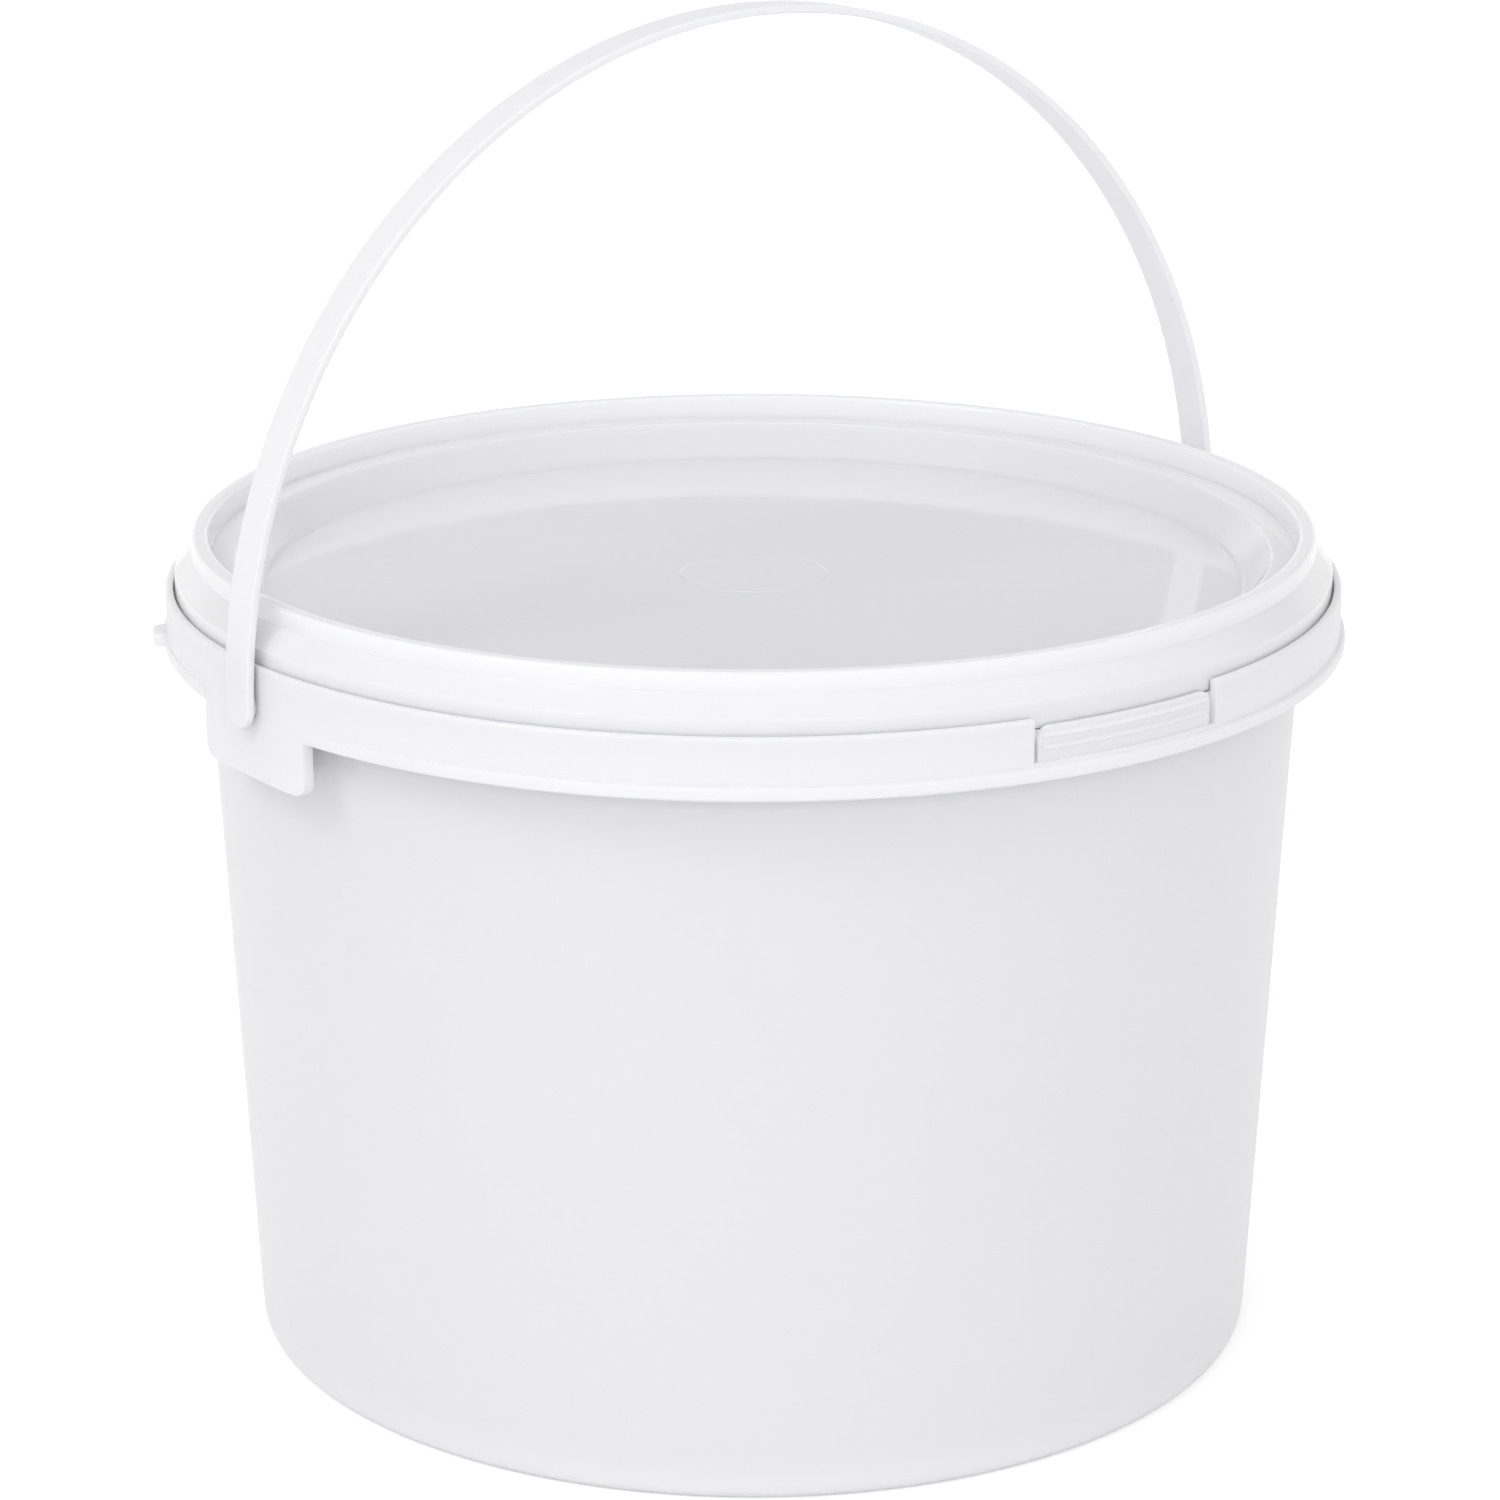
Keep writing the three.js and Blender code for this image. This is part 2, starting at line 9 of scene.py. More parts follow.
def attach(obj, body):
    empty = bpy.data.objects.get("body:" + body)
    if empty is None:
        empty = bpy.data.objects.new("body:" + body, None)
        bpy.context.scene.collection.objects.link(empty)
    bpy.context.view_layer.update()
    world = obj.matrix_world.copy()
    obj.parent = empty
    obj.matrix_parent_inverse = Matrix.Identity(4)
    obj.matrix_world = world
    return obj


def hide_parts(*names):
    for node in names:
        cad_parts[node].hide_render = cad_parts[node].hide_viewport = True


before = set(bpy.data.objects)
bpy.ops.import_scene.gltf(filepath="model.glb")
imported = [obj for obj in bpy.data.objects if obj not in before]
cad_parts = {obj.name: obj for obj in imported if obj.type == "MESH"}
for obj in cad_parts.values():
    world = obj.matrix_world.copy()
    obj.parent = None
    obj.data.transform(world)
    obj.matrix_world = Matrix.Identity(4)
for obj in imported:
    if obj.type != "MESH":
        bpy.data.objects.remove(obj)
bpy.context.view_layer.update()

# Sizes in millimetres, the moulded solids' own but for the fillets and roundings, which are finer here
MM = 0.001
FOOT_RADIUS = 87.5
WALL_TOP_RADIUS = 93.8
WALL_THICKNESS = 1.1
FOOT_EDGE_RADIUS = 1.5
FOOT_RING_WIDTH = 2.6
BASE_RECESS = 2.0
BASE_THICKNESS = 1.4
INNER_CORNER_RADIUS = 3.0
GATE_RADIUS = 3.2
GATE_DEPTH = 0.5

RIM_HEIGHT = 136.0
RIM_BEAD_REACH = 1.4
RIM_BEAD_HEIGHT = 1.6
RIM_BEAD_SLOPE = 1.4
RIM_EDGE_RADIUS = 0.5
COLLAR_RADIUS = 100.1
COLLAR_THICKNESS = 1.3
COLLAR_TOP = 132.7
COLLAR_EDGE_RADIUS = 0.6
WEB_TOP = 130.3
WEB_THICKNESS = 1.2
LIP_REACH = 0.9
LIP_BOTTOM = 122.8
LIP_HEIGHT = 2.2
LIP_ROUND = 0.54
LIP_FILLET = 0.25
WEB_FILLET = 0.5

EAR_HALF_WIDTH = 15.4
EAR_BOTTOM = 113.6
EAR_CORNER_RADIUS = 2.4
EAR_THICKNESS = 1.8
EAR_FLAT_HALF_WIDTH = 9.5
EAR_RIB_SPACING = 13.0
EAR_RIB_THICKNESS = 1.2
EAR_RIB_LIFT = 1.5

TAB_HALF_ANGLE = 10.6
TAB_SLIT_WIDTH = 0.9
TAB_SLIT_BOTTOM = 125.7
TAB_TOP_DROP = 1.4
TAB_CORNER_RADIUS = 2.2
TAB_RECESS = 0.5
TAB_RIB_COUNT = 2
TAB_RIB_HEIGHT = 0.9
TAB_RIB_PITCH = 1.9
TAB_RIB_START = 0.9
TAB_RIB_INSET = 0.4
TAB_RIB_DRAFT = 0.2
TONGUE_ANGLE = 28.4
TONGUE_REACH = 1.4
TONGUE_LENGTH = 6.0
TONGUE_HEIGHT = 2.2
TONGUE_LIFT = 0.4

LID_THICKNESS = 1.1
PANEL_RADIUS = 83.8
PANEL_TOP = 131.6
PANEL_DISC_RADIUS = 12.4
PANEL_DISC_HEIGHT = 0.15
PANEL_FILLET = 1.2
PANEL_FILLET_INSET = 0.6
LEDGE_INNER_RADIUS = 87.9
LEDGE_TOP = 137.5
LEDGE_FILLET = 0.7
LEDGE_FILLET_INSET = 0.56
UNDERSIDE_SHIFT = 0.5
RING_INNER_RADIUS = 92.6
RING_OUTER_RADIUS = 95.5
RING_TOP = 141.6
RING_EDGE_RADIUS = 0.8
RING_FOOT_FILLET = 0.5
RING_FOOT_LIFT = 0.15
SHOULDER_TOP = 138.6
SHOULDER_BOTTOM = 135.1
SKIRT_GAP = 0.3             # the solids keep 0.5 here, which looks too wide when drawn sharply
SKIRT_LIFT = 0.5
SKIRT_ROUND = 0.35
SKIRT_ROUND_DROP = 0.21
SNAP_LEG_THICKNESS = 1.0
SNAP_LEG_LIFT = 0.9
SNAP_HOOK_HEIGHT = 2.2
SNAP_HOOK_TIP = 0.7
SNAP_UNDERCUT = 0.7
PLUG_DEPTH = 3.1
PLUG_THICKNESS = 1.1
SEAT_GAP = 0.3

HANDLE_WIDTH = 7.1
HANDLE_THICKNESS = 1.4
HANDLE_GAP = 0.4
HANDLE_RISE = 103.2
HANDLE_EDGE = 0.35
HANDLE_TIP_WIDTH = 0.05     # half the width that the strip's rounded end closes to
CAP_SHARE = 0.998           # how far that end stands below the pivot, as a share of half the strip's width
EDGE_SHARE = 0.9            # the most of the half width that the edge's rounding takes
PIVOT_HEIGHT = 125.6
STUD_RADIUS = 2.4
STUD_CLEARANCE = 0.15
STUD_HEAD_RADIUS = 3.4
STUD_HEAD_THICKNESS = 1.1
STUD_HEAD_CHAMFER = 0.6
STUD_HEAD_GAP = 0.3
LIP_CLEARANCE = 0.15

# Fineness of the curves
TURN_STEPS = 288
ARCH_STEPS = 160
STUD_STEPS = 48
CAP_STEPS = 16
CORNER_STEPS = 8
FILLET_STEPS = 5
LID_FILLET_STEPS = 4
STRIP_EDGE_STEPS = 4
CREASE_STEPS = 3
BUCKET_SMOOTH_ANGLE = math.radians(32)
LID_SMOOTH_ANGLE = math.radians(28)
HANDLE_SMOOTH_ANGLE = math.radians(40)

# Building the solids: how far a cutting tool stands past what it cuts, thin films that keep two faces out of
# one surface, and how near a point counts as on the axis or as the same point
MARGIN = 1.0
FILM = 0.004
TAB_FILM = 0.01
SECTOR_REACH = 130.13
EAR_PRISM_BACK = 5.0
AXIS_TOLERANCE = 1e-6
MERGE_DISTANCE = 1e-4

# The photograph's camera, fitted to the circles that it shows
IMAGE_SIZE = 1500
SENSOR = 36.0
FOCAL_PIXELS = 4572.3
CAMERA_DISTANCE = 0.7578
CAMERA_HEIGHT = 0.3351
CAMERA_AZIMUTH = math.radians(-36.0)
CAMERA_PITCH = math.radians(17.246)
CAMERA_YAW = math.radians(-0.046)

# The plastics, in linear colours: the clouding runs from the shade to the colour
BUCKET_COLOUR = (0.88, 0.879, 0.908)
BUCKET_SHADE = (0.862, 0.861, 0.891)
HANDLE_COLOUR = (0.875, 0.874, 0.895)
HANDLE_SHADE = (0.858, 0.857, 0.879)
LID_COLOUR = (0.895, 0.893, 0.915)
LID_SHADE = (0.883, 0.881, 0.904)
# Painted shade: the lid's panel is painted greyer than the rest of the lid, standing in for the dark inside
# that shows through the thin panel
PANEL_PAINTED_SHADE = (0.83, 0.828, 0.862)
PANEL_PAINTED_SHADE_START = 82.6   # the panel's colour gives way to the lid's between these two radii
PANEL_PAINTED_SHADE_END = 84.4
PLASTIC_IOR = 1.49
LIGHT_SHARE = 0.45          # how much of the light goes into the plastic before it comes back
LIGHT_DEPTH = 0.003         # how far it goes, in metres
SCUFF_RANGE = (0.3, 0.7)
GLOSS_SPREAD = (0.85, 1.2)  # the roughness is multiplied by these at the two ends of the scuffs' range

# The floor and the light all round it
FLOOR_RADIUS = 4000
FLOOR_SEGMENTS = 96
FLOOR_COLOUR = (0.8, 0.8, 0.8, 1)
FLOOR_GLOW = 0.36           # added to the floor for the camera and reflections, which lifts it to white
WHITE = (1, 1, 1, 1)
WORLD_LIGHT = 0.76
SKY_REFLECTED = 0.3         # what reflections see above the white horizon
HORIZON_END = 0.12          # the horizon fades to the sky between these two sines of elevation
SKY_START = 0.34

# Soft boxes: name, angle to the right of the camera, elevation, distance, size, power in watts, and whether
# reflections show it
LAMP_TARGET = (0, 0, 0.1)
LAMPS = [
    ("key", -50, 44, 1.6, (0.6, 0.4), 3.0, True),
    ("front", 5, 18, 2.0, (1.5, 0.8), 7.8, False),
    ("back", 180, 24, 2.0, (1.5, 0.8), 4.5, False),
    ("top", 0, 75, 1.6, (1.4, 1.4), 2.5, False),
]

# Sizes that follow from the ones above
COLLAR_INNER_RADIUS = COLLAR_RADIUS - COLLAR_THICKNESS
RIM_INNER_RADIUS = WALL_TOP_RADIUS - WALL_THICKNESS
RIM_BEAD_RADIUS = WALL_TOP_RADIUS + RIM_BEAD_REACH
LIP_RADIUS = COLLAR_RADIUS + LIP_REACH
LIP_TOP = LIP_BOTTOM + LIP_HEIGHT
EAR_FLAT = math.sqrt(COLLAR_RADIUS ** 2 - EAR_FLAT_HALF_WIDTH ** 2)
EAR_INNER_RADIUS = COLLAR_RADIUS - EAR_THICKNESS
HANDLE_INNER_REACH = COLLAR_RADIUS + HANDLE_GAP
HANDLE_INNER_RISE = HANDLE_RISE - HANDLE_THICKNESS
BASE_TOP = BASE_RECESS + BASE_THICKNESS
WEB_BOTTOM = WEB_TOP - WEB_THICKNESS


def wall_radius(height):
    """The tapered wall's outer radius, which stays the same above the web."""
    return FOOT_RADIUS + (WALL_TOP_RADIUS - FOOT_RADIUS) * min(height / WEB_TOP, 1)


def arc(centre_r, centre_z, radius, start, end, steps=FILLET_STEPS):
    """Profile points on an arc, from one angle to another in degrees."""
    points = []
    for i in range(steps + 1):
        angle = math.radians(start + (end - start) * i / steps)
        points.append((centre_r + radius * math.cos(angle), centre_z + radius * math.sin(angle)))
    return points


def object_from(bm, name):
    """A scene object with bm's mesh, scaled from millimetres to metres."""
    bmesh.ops.remove_doubles(bm, verts=bm.verts, dist=MERGE_DISTANCE)
    bmesh.ops.recalc_face_normals(bm, faces=bm.faces)
    bmesh.ops.scale(bm, vec=(MM, MM, MM), verts=bm.verts)
    mesh = bpy.data.meshes.new(name)
    bm.to_mesh(mesh)
    bm.free()
    obj = bpy.data.objects.new(name, mesh)
    bpy.context.scene.collection.objects.link(obj)
    return obj


def turned(profile, name, steps=TURN_STEPS, place=None, reach_at=None):
    """A closed solid turned about Z from a profile that starts and ends on the axis, or closes on itself."""
    bm = bmesh.new()
    rings = []
    for radius, height in profile:
        if radius < AXIS_TOLERANCE:
            rings.append([bm.verts.new((0, 0, height))] * steps)
            continue
        ring = []
        for i in range(steps):
            angle = 2 * math.pi * i / steps
            reach = radius if reach_at is None else reach_at(radius, angle)
            ring.append(bm.verts.new((reach * math.cos(angle), reach * math.sin(angle), height)))
        rings.append(ring)
    pairs = list(zip(rings, rings[1:]))
    if profile[0][0] > AXIS_TOLERANCE:
        pairs.append((rings[-1], rings[0]))
    for low, high in pairs:
        for i in range(steps):
            j = (i + 1) % steps
            corners = list(dict.fromkeys([low[i], low[j], high[j], high[i]]))
            if len(corners) > 2:
                bm.faces.new(corners)
    if place is not None:
        bmesh.ops.transform(bm, matrix=place, verts=bm.verts)
    return object_from(bm, name)


def ring_solid(inner, outer, bottom, top):
    """A square-edged ring about Z."""
    return turned([(inner, bottom), (outer, bottom), (outer, top), (inner, top)], "ring")


def rod(radius, half_length, place):
    """A cylinder about Z, the same length to both sides, put in place by a matrix."""
    profile = [(0, -half_length), (radius, -half_length), (radius, half_length), (0, half_length)]
    return turned(profile, "rod", STUD_STEPS, place)


def extruded(outline, depth, name, place):
    """A prism on an outline of (x, y) points, depth along Z, then put in place by a matrix."""
    bm = bmesh.new()
    low = [bm.verts.new((x, y, 0)) for x, y in outline]
    high = [bm.verts.new((x, y, depth)) for x, y in outline]
    bm.faces.new(low[::-1])
    bm.faces.new(high)
    for i in range(len(outline)):
        j = (i + 1) % len(outline)
        bm.faces.new([low[i], low[j], high[j], high[i]])
    bmesh.ops.transform(bm, matrix=place, verts=bm.verts)
    return object_from(bm, name)


def block(low, high):
    """A box between two corners, whose x may come in either order."""
    left, right = sorted((low[0], high[0]))
    outline = [(left, low[1]), (right, low[1]), (right, high[1]), (left, high[1])]
    return extruded(outline, high[2] - low[2], "block", Matrix.Translation((0, 0, low[2])))


def sector(start, end, bottom, top):
    """A wedge between two angles, measured from -Y towards +X in degrees."""
    outline = [(0, 0)]
    for angle in (start, end):
        turn = math.radians(angle)
        outline.append((SECTOR_REACH * math.sin(turn), -SECTOR_REACH * math.cos(turn)))
    return extruded(outline, top - bottom, "sector", Matrix.Translation((0, 0, bottom)))


def combine(obj, other, operation):
    """Joins, cuts or keeps what two solids share, and removes the second one."""
    modifier = obj.modifiers.new("combine", "BOOLEAN")
    modifier.operation = operation
    modifier.solver = "MANIFOLD"
    modifier.object = other
    bpy.context.view_layer.update()
    evaluated = obj.evaluated_get(bpy.context.evaluated_depsgraph_get())
    mesh = bpy.data.meshes.new_from_object(evaluated)
    obj.modifiers.clear()
    old = obj.data
    obj.data = mesh
    bpy.data.meshes.remove(old)
    bpy.data.objects.remove(other)
    return obj


def smooth(obj, angle):
    """Smooth shading with sharp edges past an angle, and without the empty slots that the solver leaves."""
    obj.data.materials.clear()
    obj.data.shade_smooth()
    obj.data.set_sharp_from_angle(angle=angle)
    weighted = obj.modifiers.new("weighted", "WEIGHTED_NORMAL")
    weighted.keep_sharp = True
    return obj


# Bucket

def bucket_profile():
    """The bucket's section: inside, rim and bead, channel, collar, lip, web, wall, foot ring and base."""
    foot_outer = FOOT_RADIUS - FOOT_EDGE_RADIUS
    foot_inner = foot_outer - FOOT_RING_WIDTH
    inner_foot = wall_radius(BASE_TOP) - WALL_THICKNESS
    bead_top = RIM_HEIGHT - RIM_EDGE_RADIUS
    bead_bottom = bead_top - RIM_BEAD_HEIGHT + RIM_EDGE_RADIUS
    return [
        (0, BASE_TOP),
        *arc(inner_foot - INNER_CORNER_RADIUS, BASE_TOP + INNER_CORNER_RADIUS, INNER_CORNER_RADIUS, -90, 0),
        (RIM_INNER_RADIUS, WEB_TOP),
        *arc(RIM_INNER_RADIUS + RIM_EDGE_RADIUS, bead_top, RIM_EDGE_RADIUS, 180, 90),
        *arc(RIM_BEAD_RADIUS - RIM_EDGE_RADIUS, bead_top, RIM_EDGE_RADIUS, 90, 0),
        (RIM_BEAD_RADIUS, bead_bottom),
        (WALL_TOP_RADIUS, bead_bottom - RIM_BEAD_SLOPE),
        *arc(WALL_TOP_RADIUS + WEB_FILLET, WEB_TOP + WEB_FILLET, WEB_FILLET, 180, 270, CREASE_STEPS),
        *arc(COLLAR_INNER_RADIUS - WEB_FILLET, WEB_TOP + WEB_FILLET, WEB_FILLET, 270, 360, CREASE_STEPS),
        *arc(COLLAR_INNER_RADIUS + COLLAR_EDGE_RADIUS / 2, COLLAR_TOP - COLLAR_EDGE_RADIUS / 2,
             COLLAR_EDGE_RADIUS / 2, 180, 90),
        *arc(COLLAR_RADIUS - COLLAR_EDGE_RADIUS, COLLAR_TOP - COLLAR_EDGE_RADIUS, COLLAR_EDGE_RADIUS, 90, 0),
        *arc(COLLAR_RADIUS + LIP_FILLET, LIP_TOP + LIP_FILLET, LIP_FILLET, 180, 270, CREASE_STEPS),
        *arc(LIP_RADIUS - LIP_ROUND, LIP_TOP - LIP_ROUND, LIP_ROUND, 90, 0),
        *arc(LIP_RADIUS - LIP_ROUND, LIP_BOTTOM + LIP_ROUND, LIP_ROUND, 0, -90),
        (COLLAR_INNER_RADIUS, LIP_BOTTOM),
        *arc(COLLAR_INNER_RADIUS - WEB_FILLET, WEB_BOTTOM - WEB_FILLET, WEB_FILLET, 0, 90, CREASE_STEPS),
        *arc(wall_radius(WEB_BOTTOM) + WEB_FILLET, WEB_BOTTOM - WEB_FILLET, WEB_FILLET,
             90, 180, CREASE_STEPS),
        (wall_radius(2 * FOOT_EDGE_RADIUS), 2 * FOOT_EDGE_RADIUS),
        *arc(foot_outer, FOOT_EDGE_RADIUS, FOOT_EDGE_RADIUS, 0, -90),
        (foot_inner, 0),
        (foot_inner - BASE_RECESS / 2, BASE_RECESS),
        (GATE_RADIUS, BASE_RECESS),
        (GATE_RADIUS, BASE_RECESS - GATE_DEPTH),
        (0, BASE_RECESS - GATE_DEPTH),
    ]


def tab_corner(side, half_angle, top):
    """What rounds off the tab's upper corner on one side: a square with a cylinder taken out of it."""
    radius = TAB_CORNER_RADIUS
    far = LIP_RADIUS + MARGIN
    square = block((0, -far, top - radius), (side * radius, MARGIN - COLLAR_INNER_RADIUS, top + MARGIN))
    place = Matrix.Translation((0, 0, top - radius)) @ Matrix.Rotation(math.pi / 2, 4, "X")
    combine(square, rod(radius, far * 2, place), "DIFFERENCE")
    centre = math.radians(half_angle) - radius / COLLAR_RADIUS
    square.data.transform(Matrix.Rotation(side * centre, 4, "Z"))
    band = ring_solid(COLLAR_INNER_RADIUS - TAB_FILM, LIP_RADIUS + MARGIN / 2,
                      top - 2 * radius, top + 2 * MARGIN)
    return combine(square, band, "INTERSECT")


def collar_piece(inner, bottom, start, end, sector_bottom):
    """A stretch of a band from a radius outwards, between two angles in degrees, to cut out of the collar."""
    band = ring_solid(inner, LIP_RADIUS + MARGIN, bottom, COLLAR_TOP + MARGIN)
    return combine(band, sector(start, end, sector_bottom, COLLAR_TOP + 2 * MARGIN), "INTERSECT")


def cut_tab(bucket):
    """The tear tab: a stretch of the collar between two slits, lower at its top, with grip ribs."""
    slit_angle = math.degrees(TAB_SLIT_WIDTH / COLLAR_RADIUS)
    tab_top = COLLAR_TOP - TAB_TOP_DROP
    inner_half = TAB_HALF_ANGLE - slit_angle
    cut_half = inner_half + slit_angle / 2
    through = COLLAR_INNER_RADIUS - TAB_FILM
    top = collar_piece(through, tab_top, -cut_half, cut_half, tab_top - MARGIN)
    combine(bucket, top, "DIFFERENCE")
    face = collar_piece(COLLAR_RADIUS - TAB_RECESS, TAB_SLIT_BOTTOM, -cut_half, cut_half, LIP_TOP)
    combine(bucket, face, "DIFFERENCE")
    rib_root = COLLAR_RADIUS - TAB_RECESS - TAB_RIB_DRAFT
    rib_half = inner_half - TAB_RIB_INSET
    for i in range(TAB_RIB_COUNT):
        rib_top = tab_top - TAB_RIB_START - i * TAB_RIB_PITCH
        rib_bottom = rib_top - TAB_RIB_HEIGHT
        rib = turned([
            (rib_root, rib_bottom - TAB_RIB_DRAFT),
            (COLLAR_RADIUS - TAB_RIB_DRAFT, rib_bottom),
            (COLLAR_RADIUS, rib_bottom + TAB_RIB_DRAFT),
            (COLLAR_RADIUS, rib_top - 2 * TAB_RIB_DRAFT),
            (COLLAR_RADIUS - TAB_RIB_DRAFT, rib_top - TAB_RIB_DRAFT),
            (rib_root, rib_top),
        ], "tab_rib")
        combine(rib, sector(-rib_half, rib_half, LIP_TOP, COLLAR_TOP), "INTERSECT")
        combine(bucket, rib, "UNION")
    for side in (-1, 1):
        combine(bucket, tab_corner(side, inner_half, tab_top), "DIFFERENCE")
        start, end = sorted((side * TAB_HALF_ANGLE, side * inner_half))
        slit = collar_piece(through, TAB_SLIT_BOTTOM, start, end, TAB_SLIT_BOTTOM - MARGIN)
        combine(bucket, slit, "DIFFERENCE")


def lip_reach(radius, angle):
    """A profile point's radius at an angle: the lip stands out less near the ears, where the handle folds."""
    if radius <= COLLAR_RADIUS:
        return radius
    reach = HANDLE_INNER_REACH - LIP_CLEARANCE
    rise = HANDLE_INNER_RISE - LIP_CLEARANCE
    limit = 1 / math.hypot(math.cos(angle) / reach, math.sin(angle) / rise)
    share = min(1, (limit - COLLAR_RADIUS) / LIP_REACH)
    return COLLAR_RADIUS + (radius - COLLAR_RADIUS) * share


def ear_apron(side):
    """The apron below the collar: a curved plate with rounded lower corners."""
    half = EAR_HALF_WIDTH
    corner = EAR_CORNER_RADIUS
    top = WEB_TOP - WEB_THICKNESS / 2
    outline = [(half, top), (-half, top)]
    outline += arc(-half + corner, EAR_BOTTOM + corner, corner, 180, 270, CORNER_STEPS)
    outline += arc(half - corner, EAR_BOTTOM + corner, corner, 270, 360, CORNER_STEPS)
    place = Matrix(((0, 0, side, 0), (1, 0, 0, 0), (0, 1, 0, 0), (0, 0, 0, 1)))
    place = place @ Matrix.Translation((0, 0, EAR_INNER_RADIUS - EAR_PRISM_BACK))
    prism = extruded(outline, EAR_PRISM_BACK + EAR_THICKNESS + 2 * MARGIN, "ear", place)
    shell = ring_solid(EAR_INNER_RADIUS, COLLAR_RADIUS + 2 * FILM, EAR_BOTTOM - MARGIN, WEB_TOP)
    return combine(prism, shell, "INTERSECT")


def add_ear(bucket, side):
    """One ear: the lip taken away, then the apron, its two ribs, the flat face and the stud's hole."""
    lip_cut = ring_solid(COLLAR_RADIUS + FILM, LIP_RADIUS + MARGIN, LIP_BOTTOM - MARGIN, LIP_TOP + MARGIN / 2)
    stretch = block((0, -EAR_HALF_WIDTH, LIP_BOTTOM - 2 * MARGIN),
                    (side * (LIP_RADIUS + 2 * MARGIN), EAR_HALF_WIDTH, LIP_TOP + MARGIN))
    combine(bucket, combine(lip_cut, stretch, "INTERSECT"), "DIFFERENCE")
    combine(bucket, ear_apron(side), "UNION")
    rib_foot = EAR_BOTTOM + EAR_RIB_LIFT
    rib_start = wall_radius(rib_foot) - WALL_THICKNESS / 2
    rib_end = EAR_INNER_RADIUS + EAR_THICKNESS / 4
    for rib_side in (-1, 1):
        rib_y = rib_side * EAR_RIB_SPACING / 2
        rib = block((side * rib_start, rib_y - EAR_RIB_THICKNESS / 2, rib_foot),
                    (side * rib_end, rib_y + EAR_RIB_THICKNESS / 2, WEB_BOTTOM + WEB_THICKNESS / 2))
        combine(bucket, rib, "UNION")
    flat = block((side * EAR_FLAT, -EAR_FLAT_HALF_WIDTH - MARGIN, EAR_BOTTOM - MARGIN),
                 (side * (COLLAR_RADIUS + MARGIN), EAR_FLAT_HALF_WIDTH + MARGIN, COLLAR_TOP + MARGIN))
    combine(bucket, flat, "DIFFERENCE")
    place = Matrix.Translation((side * EAR_FLAT, 0, PIVOT_HEIGHT)) @ Matrix.Rotation(math.pi / 2, 4, "Y")
    hole = rod(STUD_RADIUS + STUD_CLEARANCE, EAR_THICKNESS + MARGIN, place)
    combine(bucket, hole, "DIFFERENCE")


def tongue(side):
    """The tongue on the lip that the folded handle lies on, behind one ear."""
    half = TONGUE_LENGTH / 2
    root = -COLLAR_THICKNESS / 2
    outline = [(root, half), (root, -half)]
    outline += arc(LIP_REACH, -half + TONGUE_REACH, TONGUE_REACH, -90, 0, CORNER_STEPS)
    outline += arc(LIP_REACH, half - TONGUE_REACH, TONGUE_REACH, 0, 90, CORNER_STEPS)
    turn = TONGUE_ANGLE if side > 0 else 180 - TONGUE_ANGLE
    place = Matrix.Rotation(math.radians(turn), 4, "Z")
    place = place @ Matrix.Translation((COLLAR_RADIUS, 0, LIP_BOTTOM + TONGUE_LIFT))
    return extruded(outline, TONGUE_HEIGHT, "tongue", place)


def make_bucket():
    bucket = turned(bucket_profile(), "pail", reach_at=lip_reach)
    cut_tab(bucket)
    for side in (-1, 1):
        add_ear(bucket, side)
        combine(bucket, tongue(side), "UNION")
    return smooth(bucket, BUCKET_SMOOTH_ANGLE)


# Lid

